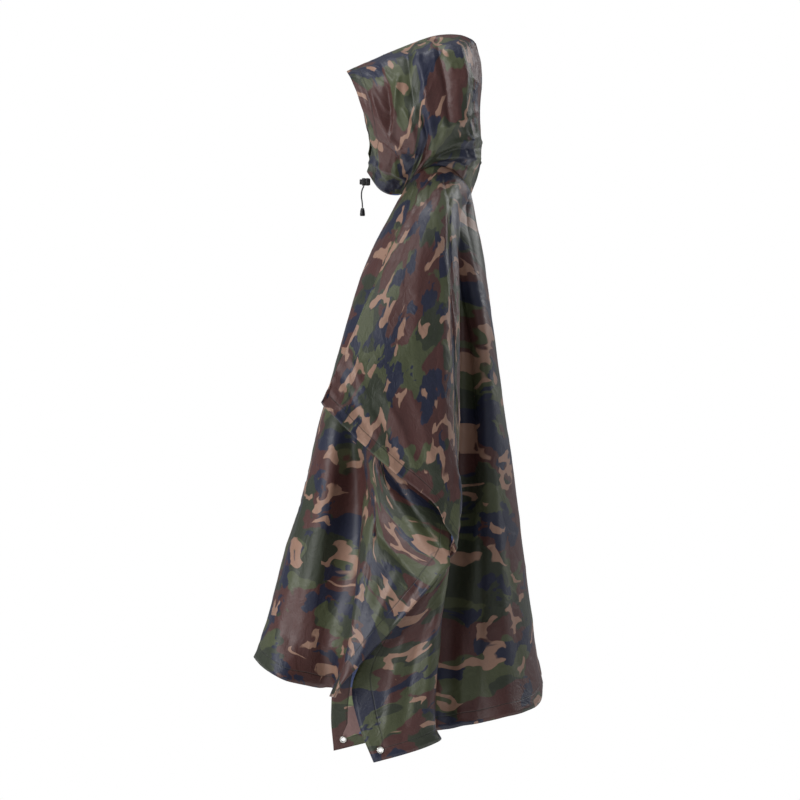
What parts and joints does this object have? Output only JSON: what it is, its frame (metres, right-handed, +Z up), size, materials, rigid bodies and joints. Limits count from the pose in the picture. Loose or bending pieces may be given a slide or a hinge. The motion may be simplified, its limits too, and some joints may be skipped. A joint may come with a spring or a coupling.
{
  "type": "rain poncho",
  "caption": "Hooded rain poncho: a wide coated-nylon sheet draped over shoulders and arms, with a drawcord hood and corner eyelets.",
  "frame": {"origin": "middle of the neck opening at the height of the shoulder line, where the wearer carries the garment", "axes": "+Z up the wearer's back, -Y to the front of the garment, +X to the wearer's left"},
  "size_m": [0.9108, 0.5818, 1.4816],
  "materials": {
    "coated_nylon": "glossy polyurethane-coated woven nylon in woodland camouflage",
    "braided_cord": "black braided polyester cord",
    "black_acetal": "black moulded acetal, satin",
    "nickel_brass": "nickel-plated brass, polished"
  },
  "bodies": {
    "root": {"body_front": "coated_nylon", "body_back": "coated_nylon", "hood_left": "coated_nylon", "hood_right": "coated_nylon", "drawcord_left": "braided_cord", "drawcord_right": "braided_cord", "cord_lock": "black_acetal", "cord_end": "black_acetal", "eyelet_back_left": "nickel_brass", "eyelet_back_right": "nickel_brass"}
  },
  "joints": []
}
